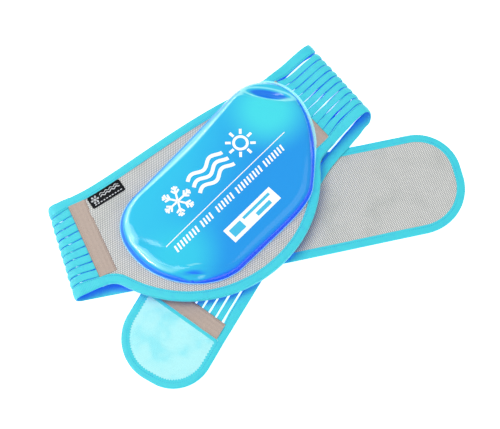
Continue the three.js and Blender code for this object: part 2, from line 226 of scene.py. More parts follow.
def bend(piece, wing, part):
    """Bakes a wing piece's transform into its mesh; the fold or stretch joint is looked up, but the
    piece is not bound to it.
    """
    joint = JOINTS[f"{wing.name}_{'fold' if part == 'fold' else 'stretch'}"]
    if part == "run":
        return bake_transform(piece)
    axis = Vector(joint["axis"])
    out = Vector((axis.y, -axis.x, 0)) * (1 if axis.y * wing.side > 0 else -1)
    if out.x * wing.side < 0:
        out = -out
    lean = wing.rise / max(RISE_TO, wing.front)
    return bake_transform(piece)


SECTION = 16  # points round a strand


def strand_section(half, thick, bow):
    """Across and height of a strand's outline: flat, with round edges, bowed by `bow`."""
    turn = np.arange(SECTION) * 2 * math.pi / SECTION
    cos, sin = np.cos(turn), np.sin(turn)
    across = half * np.sign(cos) * np.abs(cos) ** 0.55
    height = thick / 2 * np.sign(sin) * np.abs(sin) ** 0.7
    return across, height + bow * (1 - (across / half) ** 2)


def strand(wing, name, middle, half, thick, span, bow, tilt, sway):
    """A strip of elastic. `half`, `bow`, `tilt` and `sway` are functions of the distance along."""
    along = np.arange(span[0], span[1] + 0.01, (span[1] - span[0]) / span[2])
    rings, uv = [], []
    length_skew = math.tan(wing.skew) * ramp(along, wing_end(wing) - 2 * TAPE, wing_end(wing))
    for a, skew in zip(along, length_skew):
        across, height = strand_section(half(a), thick(a), bow(a))
        height = height + tilt(a) * across / half(a)
        line = middle + across + sway(a)
        rings.append(place(wing, a - line * skew, line, height))
        uv.append(np.stack([np.full(SECTION, a), line], axis=-1))
    points = np.concatenate(rings)
    return mesh_piece(name, points, tube_faces(len(along), SECTION), np.concatenate(uv))


# ---- Outlines ---------------------------------------------------------------------------


def arc(centre, radius, start, end, step=2.5):
    count = max(int(abs(end - start) * radius / step), 2)
    angle = np.linspace(start, end, count)
    return np.stack([centre[0] + radius * np.cos(angle), centre[1] + radius * np.sin(angle)], -1)


def line(a, b, step=2.5):
    a, b = np.asarray(a, float), np.asarray(b, float)
    count = max(int(np.linalg.norm(b - a) / step), 2)
    return a + (b - a) * np.linspace(0, 1, count)[:, None]


def bezier(a, b, c, d, count=60):
    t = np.linspace(0, 1, count)[:, None]
    a, b, c, d = (np.asarray(p, float) for p in (a, b, c, d))
    return (1 - t) ** 3 * a + 3 * t * (1 - t) ** 2 * b + 3 * t * t * (1 - t) * c + t ** 3 * d


def joined(*parts):
    points = np.concatenate(parts)
    keep = np.linalg.norm(points - np.roll(points, 1, axis=0), axis=1) > 0.05
    keep[0] = True
    return points[keep]


def resampled(points, count, closed=True):
    loop = np.vstack([points, points[:1]]) if closed else points
    steps = np.concatenate([[0], np.cumsum(np.linalg.norm(np.diff(loop, axis=0), axis=1))])
    at = np.linspace(0, steps[-1], count, endpoint=not closed)
    return np.stack([np.interp(at, steps, loop[:, k]) for k in range(2)], axis=-1)


def neck_centre(wing):
    across = -wing.width / 2 - NECK_RADIUS
    start = wing_point(wing, 0, across) - np.array([0, DOME_CENTRE_Y])
    half = start[0] * math.cos(SWEEP) + start[1] * math.sin(SWEEP)
    reach = DOME_RADIUS + NECK_RADIUS
    return wing_point(wing, math.sqrt(half * half - start @ start + reach * reach) - half, across)


def tucked(points):
    """Draws in the lower corner of the pod's hook end along with the wing."""
    cos, sin = math.cos(SWEEP), math.sin(SWEEP)
    x, y = points[:, 0] - RIGHT.start[0], points[:, 1] - RIGHT.start[1]
    along, across = x * cos + y * sin, y * cos - x * sin
    shift = tuck(RIGHT, along, across)[:, None]
    return points + shift * np.array([-sin, cos])


def eased(path, passes=40):
    """Rounds off the corners of an open path."""
    length = np.linalg.norm(np.diff(path, axis=0), axis=1).sum()
    path = resampled(path, int(length / 2.5), closed=False)
    for _ in range(passes):
        path[1:-1] = (path[:-2] + 2 * path[1:-1] + path[2:]) / 4
    return path


def pod_edges(inset, reach):
    """The pod's lower edge and its upper edge, each from the left end to the right end."""
    ends = []
    for wing in (LEFT, RIGHT):
        flip = np.array([wing.side, 1])
        half = wing.width / 2 - inset
        neck = neck_centre(wing)
        dome = math.atan2(neck[1] - DOME_CENTRE_Y, neck[0])
        ends.append(SimpleNamespace(
            lower=wing_point(wing, reach, -half) * flip, neck=neck * flip, dome=dome,
            upper=wing_point(wing, reach, half) * flip,
            shoulder=wing_point(wing, -TAPE, half) * flip))
    left, right = ends
    square, bend_radius = math.pi / 2, NECK_RADIUS + inset
    neck_left = arc(left.neck, bend_radius, square - SWEEP, -left.dome)
    dome = arc((0, DOME_CENTRE_Y), DOME_RADIUS - inset, math.pi - left.dome,
               2 * math.pi + right.dome)
    neck_right = arc(right.neck, bend_radius, math.pi + right.dome, square + SWEEP)
    lower = joined(line(left.lower, neck_left[0]), neck_left, dome, neck_right,
                   line(neck_right[-1], right.lower))
    third = left.shoulder + (right.shoulder - left.shoulder) / 3
    two_thirds = left.shoulder + (right.shoulder - left.shoulder) * 2 / 3 + [0, CROWN_HOOK]
    upper = joined(line(left.upper, left.shoulder),
                   bezier(left.shoulder, third, two_thirds, right.shoulder, 100),
                   line(right.shoulder, right.upper))
    return tucked(lower), eased(tucked(upper))


def pod_outline(inset, reach):
    lower, upper = pod_edges(inset, reach)
    return resampled(joined(lower, upper[::-1]), 420)


def tongue_outline(wing, inset, root):
    """The tongue's outline in its own frame, from the root's right end round to its left."""
    half, tip = wing.tongue_width / 2 - inset, wing.tongue_length - inset
    right, left = (c - inset for c in wing.corners)
    slant = math.tan(wing.skew) * half
    quarter = math.pi / 2
    low = arc((tip - right, right - half), right, -quarter, 0)
    high = arc((tip - left, half - left), left, 0, quarter)
    return joined(line((root - slant, -half), low[0]), low, line(low[-1], high[0]), high,
                  line(high[-1], (root + slant, half)))


def tongue_place(wing, points):
    """From a tongue's own frame (x along, y left, z up) to the pod's."""
    end = place(wing, wing_end(wing), 0, 0)
    before = place(wing, wing_end(wing) - TAPE, 0, 0)
    x = (end - before) / np.linalg.norm(end - before)
    y = np.cross([0, 0, 1], x)
    root = end + x * FLEX_GAP
    x = np.array([x[0], x[1], -wing.drop / wing.tongue_length])
    x /= np.linalg.norm(x)
    return root + points @ np.array([x, y, np.cross(x, y)])


# ---- Cloth pieces -----------------------------------------------------------------------


def pad(name, outline, thick, relief, rings=44, centre=None):
    """A closed padded sheet inside an outline. `relief` gives its top from x, y and the distance
    to the edge; its underside is flat, `thick` below zero."""
    centre = outline.mean(axis=0) if centre is None else np.asarray(centre, float)
    count = len(outline)
    shares = 1 - np.linspace(0, 1, rings + 1)[1:][::-1] ** 1.15 + 0
    shares = np.linspace(1, 0, rings, endpoint=False)[::-1]
    spokes = outline - centre
    grid = centre + shares[:, None, None] * spokes
    border = (1 - shares)[:, None] * np.linalg.norm(spokes, axis=1)
    top = relief(grid[..., 0], grid[..., 1], border)
    middle = relief(*[np.array(v, float) for v in (centre[0], centre[1], border[0].max())])
    upper = np.concatenate([grid, top[..., None]], axis=-1).reshape(-1, 3)
    lower = upper.copy()
    lower[:, 2] = -thick
    points = np.vstack([[*centre, float(middle)], upper, [*centre, -thick], lower])
    faces = []
    for base, flip in ((1, False), (2 + rings * count, True)):
        for j in range(count):
            k = (j + 1) % count
            faces.append((base - 1, base + k, base + j) if flip else (base - 1, base + j, base + k))
            for i in range(rings - 1):
                a, b = base + i * count, base + (i + 1) * count
                quad = (a + j, b + j, b + k, a + k)
                faces.append(quad[::-1] if flip else quad)
    edge, under = 1 + (rings - 1) * count, 2 + (2 * rings - 1) * count
    for j in range(count):
        k = (j + 1) % count
        faces.append((edge + j, under + j, under + k, edge + k))
    return points, faces, points[:, :2]


def inflate(piece, pinned, pressure, cap, steps=10, slack=0.0, smoothing=110):
    """Blows the piece up by cloth simulation, moving no point more than `cap` mm, and smooths
    out the finest wrinkles."""
    scene = bpy.context.scene
    group = piece.vertex_groups.new(name="pinned")
    group.add([int(i) for i in pinned], 1.0, "REPLACE")
    rest = np.array([v.co for v in piece.data.vertices])
    cloth = piece.modifiers.new("cloth", "CLOTH")
    settings = cloth.settings
    settings.use_pressure = True
    settings.uniform_pressure_force = pressure
    settings.vertex_group_mass = "pinned"
    settings.shrink_min = -slack
    settings.effector_weights.gravity = 0
    settings.tension_stiffness = settings.compression_stiffness = 60
    settings.bending_stiffness = 12
    cloth.collision_settings.use_collision = False
    for step in range(1, steps + 1):
        scene.frame_set(step)
    seen = piece.evaluated_get(bpy.context.evaluated_depsgraph_get())
    moved = np.array([v.co for v in seen.data.vertices]) - rest
    piece.modifiers.remove(cloth)
    piece.vertex_groups.clear()
    scene.frame_set(1)
    length = np.linalg.norm(moved, axis=1, keepdims=True)
    moved *= np.minimum(1, cap * MM / np.maximum(length, 1e-9))
    a, b = np.array([e.vertices for e in piece.data.edges]).T
    ends, others = np.concatenate([a, b]), np.concatenate([b, a])
    count = np.bincount(ends, minlength=len(moved))[:, None]
    for _ in range(smoothing):
        near = [np.bincount(ends, moved[others, k], len(moved)) for k in range(3)]
        moved = (moved + np.stack(near, axis=-1) / count) / 2
        moved[pinned] = 0
    piece.data.vertices.foreach_set("co", (rest + moved).ravel())
    piece.data.update()
    return piece


def path_normals(path, inward):
    """Unit normals of an open path; `inward` is +1 for its left side and -1 for its right."""
    step = np.gradient(path, axis=0)
    step /= np.linalg.norm(step, axis=1, keepdims=True)
    return np.stack([-step[:, 1], step[:, 0]], axis=-1) * inward


def folded_section(width, top, bottom, cloth):
    """Inset and height round a folded strip of cloth, open towards the layers it holds."""
    middle, half = (top + bottom) / 2, (top - bottom) / 2
    turn = np.linspace(math.pi / 2, 3 * math.pi / 2, 9)
    nose = min(half, 2.2)
    outer = [(width, top - 0.15), (width * 0.7, top + 0.12), (width * 0.35, top + 0.1)]
    outer += [(nose + nose * math.cos(a), middle + half * math.sin(a)) for a in turn]
    outer += [(width * 0.5, bottom), (width, bottom)]
    inner = [(width, bottom + cloth), (nose, bottom + cloth)]
    inner += [(nose * 0.5, middle), (nose, top - cloth), (width, top - cloth)]
    return np.array(outer + inner)


def binding(name, path, inward, width, top, bottom, to_space=None, wave=0.0, teeth=0.0):
    """A folded strip along a path. `wave` is its waviness and `teeth` the depth of the stitched
    inner edge's points."""
    normals = path_normals(path, inward)
    steps = np.concatenate([[0], np.cumsum(np.linalg.norm(np.diff(path, axis=0), axis=1))])
    section = folded_section(width, top, bottom, 0.6)
    phase = random.uniform(0, 6, 3)
    ripple = wave * (np.sin(steps / 17 + phase[0]) + 0.6 * np.sin(steps / 7.3 + phase[1]))
    rings, uv = [], []
    for i, (point, normal) in enumerate(zip(path, normals)):
        inset = section[:, 0].copy()
        inner = inset > width * 0.9
        inset[inner] += ripple[i] * 0.5 + teeth * (i % 2)
        flat = point + inset[:, None] * normal
        lift = section[:, 1] + (section[:, 1] > bottom + 1) * ripple[i] * 0.5
        rings.append(np.column_stack([flat, lift]))
        uv.append(np.column_stack([np.full(len(inset), steps[i]), inset]))
    points = np.concatenate(rings)
    if to_space:
        points = to_space(points)
    return mesh_piece(name, points, tube_faces(len(path), len(section)), np.concatenate(uv))


def stitches(name, points, ups, size=(1.35, 0.55, 0.3)):
    """A row of thread stitches, one on each second gap between the points."""
    shape = np.array([(x, y, z) for x in (-1, -0.5, 0.5, 1) for y, z in
                      ((-1, 0), (0, 1), (1, 0), (0, -1))], float)
    shape[np.abs(shape[:, 0]) == 1, 1:] *= 0.35
    faces_one = tube_faces(4, 4)
    all_points, faces = [], []
    for i in range(0, len(points) - 1):
        ahead = points[i + 1] - points[i]
        ahead = ahead / max(np.linalg.norm(ahead), 1e-6)
        up = ups[i] - ahead * (ups[i] @ ahead)
        up = up / np.linalg.norm(up)
        basis = np.array([ahead * size[0] / 2, np.cross(up, ahead) * size[1] / 2,
                          up * size[2] / 2])
        faces += [tuple(v + len(all_points) * len(shape) for v in f) for f in faces_one]
        all_points.append((points[i] + points[i + 1]) / 2 + shape @ basis)
    return mesh_piece(name, np.concatenate(all_points), faces)


STITCH_PITCH = 2.2


def row_along(path, inward, inset, height, to_space=None):
    """Points and up directions of a row of stitches beside a path."""
    shifted = path + path_normals(path, inward) * inset
    length = np.linalg.norm(np.diff(shifted, axis=0), axis=1).sum()
    flat = resampled(shifted, int(length / STITCH_PITCH), closed=False)
    points = np.column_stack([flat, np.full(len(flat), height)])
    ups = np.column_stack([flat, np.full(len(flat), height + 1.0)])
    if to_space:
        points, ups = to_space(points), to_space(ups)
    return points, ups - points


# ---- Materials --------------------------------------------------------------------------


def linear(red, green, blue):
    """A colour from its 0 to 255 screen values."""
    parts = [v / 255 for v in (red, green, blue)]
    return tuple(v / 12.92 if v < 0.04045 else ((v + 0.055) / 1.055) ** 2.4 for v in parts) + (1,)


class Material:
    """A node material. Node outputs are passed as inputs of the next node."""

    def __init__(self, name, roughness, sheen=0.0):
        self.material = bpy.data.materials.new(name)
        self.material.use_nodes = True
        self.tree = self.material.node_tree
        self.shader = self.tree.nodes["Principled BSDF"]
        self.shader.inputs["Roughness"].default_value = roughness
        self.shader.inputs["Sheen Weight"].default_value = sheen
        self.uv = self.node("UVMap").outputs[0]
        split = self.node("SeparateXYZ", Vector=self.uv)
        self.u, self.v = split.outputs[0], split.outputs[1]

    def node(self, kind, settings=None, **inputs):
        made = self.tree.nodes.new("ShaderNode" + kind)
        for key, value in (settings or {}).items():
            setattr(made, key, value)
        for key, value in inputs.items():
            socket = made.inputs[int(key[1:])] if key[0] == "_" else made.inputs[
                key.replace("_", " ")]
            self.set(socket, value)
        return made

    def set(self, socket, value):
        if isinstance(value, bpy.types.NodeSocket):
            self.tree.links.new(value, socket)
        else:
            socket.default_value = value

    def math(self, operation, *values):
        inputs = {f"_{i}": value for i, value in enumerate(values)}
        return self.node("Math", {"operation": operation}, **inputs).outputs[0]

    def wave(self, value, pitch, phase=0.0):
        """0 to 1 and back, once each `pitch` mm."""
        turn = self.math("MULTIPLY_ADD", value, 2 * math.pi / (pitch * MM), phase)
        return self.math("MULTIPLY_ADD", self.math("SINE", turn), 0.5, 0.5)

    def noise(self, size, detail=3.0, vector=None):
        made = self.node("TexNoise", Vector=vector or self.uv, Scale=1 / (size * MM),
                         Detail=detail)
        return made.outputs[0]

    def mix(self, share, first, second, blend="MIX"):
        made = self.node("Mix", {"data_type": "RGBA", "blend_type": blend}, _0=share)
        self.set(made.inputs[6], first)
        self.set(made.inputs[7], second)
        return made.outputs[2]

    def span(self, value, low, high):
        """Turns low to high into 0 to 1, smoothly; high may be the smaller one."""
        made = self.node("MapRange", {"interpolation_type": "SMOOTHSTEP"}, _0=value,
                         _1=min(low, high), _2=max(low, high), _3=float(low > high),
                         _4=float(low < high))
        return made.outputs[0]

    def openness(self, reach):
        """1 in the open, 0 where neighbours within `reach` mm shut the place in."""
        return self.node("AmbientOcclusion", {"samples": 8}, Distance=reach * MM).outputs[1]

    def shade(self, colour, crease_shade_colour, cave_shade_colour, glow=0.0):
        """Painted shade: Deeper colours in creases and inside the loops, found by ambient
        occlusion, with a painted glow of the loops' shade colour there.
        """
        near, far = self.openness(7), self.openness(60)
        crease = self.span(self.math("SUBTRACT", 1, near), 0.4, 1.0)
        cave = self.span(self.math("SUBTRACT", near, far), 0.3, 0.72)
        # Painted shade: the crease colour first, then the colour inside the loops.
        colour = self.mix(self.math("MULTIPLY", crease, 0.5), colour, crease_shade_colour)
        colour = self.mix(cave, colour, cave_shade_colour)
        # Painted glow where creases and loops shut the place in.
        if glow:
            shut = self.math("MAXIMUM", self.math("MULTIPLY", crease, 0.3), cave)
            self.set(self.shader.inputs["Emission Color"], cave_shade_colour)
            self.set(self.shader.inputs["Emission Strength"], self.math("MULTIPLY", shut, glow))
        return colour

    def end(self, colour, height=None, depth=0.2):
        self.set(self.shader.inputs["Base Color"], colour)
        if height is not None:
            bump = self.node("Bump", Height=height, Strength=0.6, Distance=depth * MM)
            self.set(self.shader.inputs["Normal"], bump.outputs[0])
        return self.material


# The second cyan is a lit tone: a painted highlight for rib crests.
CYAN, CYAN_LIT = linear(42, 204, 220), linear(78, 220, 228)
# The last two blues here are painted shade colours, for creases and for inside the loops.
CYAN_SOFT, MID_SHADE_BLUE, DEEP_SHADE_BLUE = linear(36, 176, 220), linear(38, 158, 228), linear(24, 104, 226)


def ribbed(name, pitch, across_pitch, light):
    """Cyan elastic or tape: fine ribs across it and cords along it, the rib crests in a lighter
    tone as a painted highlight, with painted shade and a painted glow in creases and inside the
    loops.
    """
    m = Material(name, 0.62, 0.25)
    ribs = m.math("MULTIPLY", m.wave(m.u, pitch), m.wave(m.v, across_pitch))
    worn = m.noise(9)
    # The rib crests take the lighter tone: a painted highlight on real ribs.
    colour = m.mix(m.math("MULTIPLY", ribs, 0.55), CYAN, light)
    colour = m.mix(m.math("MULTIPLY", m.span(worn, 0.45, 0.8), 0.35), colour, CYAN_SOFT)
    # Painted shade and a painted glow in creases and inside the loops.
    return m.end(m.shade(colour, MID_SHADE_BLUE, DEEP_SHADE_BLUE, 0.3),
                 m.math("ADD", ribs, m.math("MULTIPLY", worn, 0.4)))


def knit(name, light, hole):
    """Spacer knit: rows of light bars and darker eyelets, each row half a step on, with painted
    shade in creases and inside the loops.
    """
    m = Material(name, 0.95)
    slanted = m.math("MULTIPLY_ADD", m.v, 0.62, m.u)
    other = m.math("MULTIPLY_ADD", m.v, -0.62, m.u)
    cell = m.math("MULTIPLY", m.wave(slanted, 2.1), m.wave(other, 2.1))
    thread = m.noise(0.5, 2)
    tone = m.mix(m.span(cell, -0.04, 0.34), hole, light)
    patch = m.mix(m.math("MULTIPLY", m.span(m.noise(34), 0.45, 0.75), 0.3), tone,
                  linear(196, 204, 200), "MULTIPLY")
    colour = m.mix(m.math("MULTIPLY", thread, 0.2), patch, linear(244, 244, 238))
    # Painted shade in creases and inside the loops.
    return m.end(m.shade(colour, linear(120, 136, 146), linear(86, 112, 130)), cell, 0.35)


def twill(name):
    """Seam tape: fine diagonal lines and flecks, darker along its sewn edges, with painted shade in
    creases and inside the loops.
    """
    m = Material(name, 0.95)
    diagonal = m.wave(m.math("ADD", m.u, m.v), 1.1)
    fleck = m.span(m.noise(0.9, 4), 0.5, 0.72)
    long_grain = m.node("TexNoise", Vector=m.node(
        "Mapping", Vector=m.uv, Scale=(0.3, 1, 1)).outputs[0], Scale=1 / (0.9 * MM), Detail=4.0)
    colour = m.mix(m.math("MULTIPLY", fleck, 0.5), linear(186, 169, 158), linear(142, 119, 110))
    colour = m.mix(m.math("MULTIPLY", m.span(long_grain.outputs[0], 0.45, 0.7), 0.25), colour,
                   linear(206, 190, 174))
    rim = m.span(m.math("ABSOLUTE", m.v), (TAPE / 2 - 1.2) * MM, TAPE / 2 * MM)
    ridge = m.math("MULTIPLY", m.wave(m.v, 4.7), 0.08)
    colour = m.mix(m.math("MAXIMUM", m.math("MULTIPLY", rim, 0.7), ridge), colour,
                   linear(120, 96, 88))
    # Painted shade in creases and inside the loops.
    return m.end(m.shade(colour, linear(104, 84, 80), linear(92, 84, 96)), diagonal, 0.25)


def hook_pad_material():
    m = Material("hook_pad", 0.9)
    blot = m.span(m.noise(26, 2), 0.42, 0.7)
    fine = m.noise(1.3, 2)
    colour = m.mix(m.math("MULTIPLY", blot, 0.8), linear(166, 236, 240), linear(118, 224, 236))
    colour = m.mix(m.math("MULTIPLY", fine, 0.25), colour, linear(206, 250, 252))
    hooks = m.math("MULTIPLY", m.wave(m.u, 1.6), m.wave(m.v, 1.6))
    # Painted shade in creases and inside the loops.
    return m.end(m.shade(colour, MID_SHADE_BLUE, MID_SHADE_BLUE), m.math("ADD", hooks, fine), 0.3)


def gel_film():
    """The filled film: cyan towards the upper left, blue to the lower right, with painted shade and
    a painted glow round the steep sides, a painted highlight along the upper-left shoulder, and
    painted shade in the hook end's dent with a painted highlight on its rim."""
    m = Material("gel_film", 0.14)
    m.shader.inputs["Specular IOR Level"].default_value = 0.35
    m.shader.inputs["Coat Weight"].default_value = 0.35
    m.shader.inputs["Coat Roughness"].default_value = 0.05
    across = m.math("MULTIPLY_ADD", m.u, 0.45, m.math("MULTIPLY", m.v, -1.0))
    field = m.math("ADD", across, m.math("MULTIPLY", m.noise(60, 1), 0.03))
    colour = m.mix(m.span(field, -0.07, 0.05), linear(50, 194, 232), linear(34, 150, 230))
    end = m.node("VectorMath", {"operation": "DISTANCE"}, _0=m.uv, _1=(0.088, 0.03, 0))
    colour = m.mix(m.math("MULTIPLY", m.span(end.outputs[1], 0.055, 0.012), 0.95), colour,
                   linear(70, 220, 230))
    low = m.node("VectorMath", {"operation": "DISTANCE"}, _0=m.uv, _1=(-0.088, -0.018, 0))
    colour = m.mix(m.math("MULTIPLY", m.span(low.outputs[1], 0.05, 0.01), 0.75), colour,
                   linear(54, 206, 230))
    # Painted shade round the steep sides, deeper on the sides that face the lower right.
    normal = m.node("SeparateXYZ", Vector=m.node("NewGeometry").outputs["Normal"])
    steep = m.span(normal.outputs[2], 0.86, 0.5)
    facing = m.math("SUBTRACT", normal.outputs[0], normal.outputs[1])
    lean = m.span(facing, -0.7, 0.7)
    side = m.mix(lean, linear(20, 120, 234), linear(18, 74, 236))
    colour = m.mix(steep, colour, side)
    # Painted highlight: a light line along the shoulder that faces the upper left.
    shoulder = m.math("MULTIPLY", m.span(normal.outputs[2], 0.985, 0.93),
                      m.span(normal.outputs[2], 0.74, 0.86))
    shoulder = m.math("MULTIPLY", shoulder, m.span(facing, 0.02, -0.22))
    colour = m.mix(m.math("MULTIPLY", shoulder, 0.75), colour, linear(158, 242, 246))
    # Painted shade in the dent at the hook end, with a painted highlight on its rim.
    place_at = m.node("Mapping", {"vector_type": "TEXTURE"}, Vector=m.uv,
                      Location=(0.1035, 0.0435, 0), Rotation=(0, 0, math.radians(-57)),
                      Scale=(0.023, 0.0056, 1))
    reach = m.node("VectorMath", {"operation": "LENGTH"}, _0=place_at.outputs[0]).outputs[1]
    colour = m.mix(m.math("MULTIPLY", m.span(reach, 1.05, 0.7), 0.85), colour,
                   linear(26, 104, 236))
    rim = m.math("MULTIPLY", m.span(reach, 1.0, 1.12), m.span(reach, 1.42, 1.22))
    colour = m.mix(m.math("MULTIPLY", rim, 0.7), colour, linear(150, 240, 246))
    # Painted glow: the steep sides give off a little of their shade colour as light.
    m.set(m.shader.inputs["Emission Color"], side)
    m.set(m.shader.inputs["Emission Strength"], m.math("MULTIPLY", steep, 0.22))
    return m.end(colour, m.noise(22, 2), 0.35)


def clear_film():
    """The welded rim: clear film with a whitish veil over what lies under it, and a painted glow
    that keeps it light.
    """
    m = Material("clear_film", 0.12)
    clear = m.node("BsdfTransparent", Color=(0.95, 1.0, 1.0, 1))
    m.shader.inputs["Base Color"].default_value = linear(196, 250, 252)
    # Painted glow: the film gives off light of its own.
    m.shader.inputs["Emission Color"].default_value = linear(150, 244, 250)
    m.shader.inputs["Emission Strength"].default_value = 0.6
    share = m.node("MixShader", _0=0.3, _1=clear.outputs[0], _2=m.shader.outputs[0])
    m.tree.links.new(share.outputs[0], m.tree.nodes["Material Output"].inputs[0])
    return m.material


def plain(name, colour, roughness, grain, glow=0.0, deep=None):
    m = Material(name, roughness)
    speck = m.noise(grain, 3)
    tone = m.mix(m.math("MULTIPLY", speck, 0.25), colour, tuple(min(1, c * 1.25) for c in colour))
    m.set(m.shader.inputs["Emission Color"], tone)
    m.set(m.shader.inputs["Emission Strength"], glow)
    # A shade colour brings painted shade and a painted glow in creases and inside the loops, as on
    # the outer cloth.
    return m.end(m.shade(tone, deep, deep, 0.3) if deep else tone, speck, 0.12)


def satin_label():
    m = Material("satin_label", 0.8)
    m.shader.inputs["Specular IOR Level"].default_value = 0.2
    weft = m.wave(m.v, 0.5)
    colour = m.mix(m.math("MULTIPLY", weft, 0.4), linear(4, 7, 12), linear(22, 28, 38))
    return m.end(colour, weft, 0.06)


MAT = SimpleNamespace(
    elastic=ribbed("elastic", 1.1, 1.8, CYAN_LIT),
    binding=ribbed("binding", 1.6, 60, linear(58, 212, 224)),
    knit=knit("knit", linear(228, 229, 224), linear(116, 120, 126)),
    tape=twill("seam_tape"),
    hook=hook_pad_material(),
    gel=gel_film(),
    film=clear_film(),
    thread=plain("thread", linear(14, 158, 206), 0.8, 0.6),
    tan_thread=plain("tan_thread", linear(150, 130, 120), 0.7, 0.6),
    white_ink=plain("white_ink", linear(250, 252, 250), 0.35, 3),
    cyan_ink=plain("cyan_ink", linear(60, 186, 226), 0.35, 3),
    label=satin_label(),
    yarn=plain("label_yarn", linear(214, 218, 222), 0.7, 0.4),
    shell=plain("outer_cloth", linear(38, 190, 226), 0.9, 1.2, deep=DEEP_SHADE_BLUE),
    core=plain("core_cloth", linear(232, 234, 232), 0.9, 1.5),
    floor=plain("floor", linear(250, 250, 250), 0.9, 40, glow=0.8),
)

# ---- Wings ------------------------------------------------------------------------------


def constant(value):
    return lambda along: value


def strand_steps(span):
    return (*span, max(int((span[1] - span[0]) / 1.8), 8))


def wing_spans(wing, middle, end):
    """The stretch of a strand round the fold, and the stretch from there to its end."""
    fold_end = fold_lines(wing, middle)[1] + FOLD_MARGIN
    return {"fold": (-4.7, fold_end), "run": (fold_end, end)}


def bell(x, middle, width):
    return math.exp(-((x - middle) / width) ** 2)


def band_gaps(wing, i, roll):
    """How much narrower inner band i is at each distance: slits that open in the front layer,
    and a dot at the fold."""
    share = i / (BANDS - 1)
    middle, width = (2, 4.5) if wing is LEFT else (25 + random.uniform(-2, 2), 7)
    slit = (0.1 + 0.4 * share if wing is LEFT else 0.1 + 0.6 * share) * random.uniform(0.8, 1.2)
    dot = 0.2 if wing is RIGHT else 0.0
    return lambda along: slit * bell(along, middle, width) + dot * bell(along, roll[0] - 1, 2.6)


def inner_bands(wing):
    free = wing.width - 2 * EDGE_BAND - BANDS * BAND
    pitch = BAND + free / (BANDS + 1)
    wider = 2 * (EDGE_BAND - BINDING) / (pitch * BANDS)

    def spread(along):
        return 1 + wider * (1 - ramp(along, 0, 16))

    for i in range(BANDS):
        middle = pitch * ((BANDS - 1) / 2 - i)
        roll = fold_lines(wing, middle)
        tight = random.uniform(0.75, 1.15)
        drift = random.uniform(-0.35, 0.35)
        opening = band_gaps(wing, i, roll)
        first = 0.55 if wing is RIGHT and i == 0 else 0.0

        def slit(along, roll=roll, first=first):
            return first * ramp(along, 0, 7) * (1 - ramp(along, roll[0] - 5, roll[0] + 5))

        def half(along, roll=roll, opening=opening, slit=slit):
            wide = pitch / 2 * spread(along) - 0.08 - opening(along) - slit(along)
            shrink = ramp(along, roll[1] - 6, roll[1] + 26)
            return wide * (1 - shrink) + (BAND / 2 - 0.05) * shrink

        def bow(along, roll=roll, tight=tight):
            return 0.3 + tight * bell(along, sum(roll) / 2, 15)

        def tilt(along, roll=roll, tight=tight):
            return -0.6 * tight * ramp(along, 1, 12) * (1 - ramp(along, roll[0] - 2, roll[1]))

        def sway(along, drift=drift, slit=slit, middle=middle):
            wander = drift * math.sin(along / 16 + drift * 9) * ramp(along, 0, 10)
            return wander - slit(along) + middle * (spread(along) - 1)

        end = wing_end(wing) - TAPE + 4
        for part, span in wing_spans(wing, middle, end).items():
            piece = strand(wing, f"{wing.name}_strand_{i + 1}_{part}", middle, half, constant(1.3),
                           strand_steps(span), bow, tilt, sway)
            nodes = [f"{wing.name}_band_{i + 1}"] if part == "fold" else []
            finish_piece(piece, MAT.elastic, nodes=nodes)
            bend(piece, wing, part)


def edge_bands(wing):
    for label, sign in (("upper", 1), ("lower", -1)):
        middle = sign * (wing.width - EDGE_BAND) / 2
        roll = fold_lines(wing, middle)
        end = wing_end(wing) + 1

        def half(along, sign=sign, roll=roll):
            narrow = ramp(along, end - TAPE * 1.6, end)
            start = 1 - ramp(along, 2, 16)
            over = 0.0 if wing is RIGHT and sign > 0 else 0.3 * (1 - ramp(along, *roll))
            return over + EDGE_BAND / 2 * (1 - start) * (1 - narrow) + (
                start * (BINDING / 2 + 0.3) + narrow * (1 - start) * (wing.binding / 2 + 0.7))

        def sway(along, sign=sign, roll=roll):
            lift = {("right", 1): 5.2, ("left", -1): 2.0}.get((wing.name, sign), 0.0)
            lift *= ramp(along, roll[0] + 4, roll[1] + 2)
            lift *= 1 - ramp(along, roll[1] + 75, roll[1] + 125)
            return sign * (EDGE_BAND / 2 - half(along)) + lift

        def thick(along):
            return 2.0 + 1.5 * (1 - ramp(along, 1, 18)) + 1.1 * ramp(along, end - TAPE, end)

        def bow(along, roll=roll):
            return 0.15 + 0.5 * bell(along, sum(roll) / 2, 16)

        for part, span in wing_spans(wing, middle, end).items():
            name = f"{wing.name}_{label}_edge_{part}"
            piece = strand(wing, name, middle, half, thick, strand_steps(span), bow, constant(0),
                           sway)
            nodes = [f"{wing.name}_{label}_edge_band"] if part == "fold" else []
            finish_piece(piece, MAT.binding, nodes=nodes)
            bend(piece, wing, part)
            along = np.arange(max(span[0], 1), span[1], STITCH_PITCH)
            line_at = np.array([middle + sway(a) - sign * (half(a) - 1.8) for a in along])
            for face, side in (("over", 1), ("under", -1)):
                level = np.array([side * (thick(a) / 2 + 0.02) + bow(a) * 0.4 for a in along])
                points = place(wing, along, line_at, level)
                ups = place(wing, along, line_at, level + side) - points
                row = stitches(f"{name}_stitches_{face}", points, ups)
                finish_piece(row, MAT.thread)
                bend(row, wing, part)


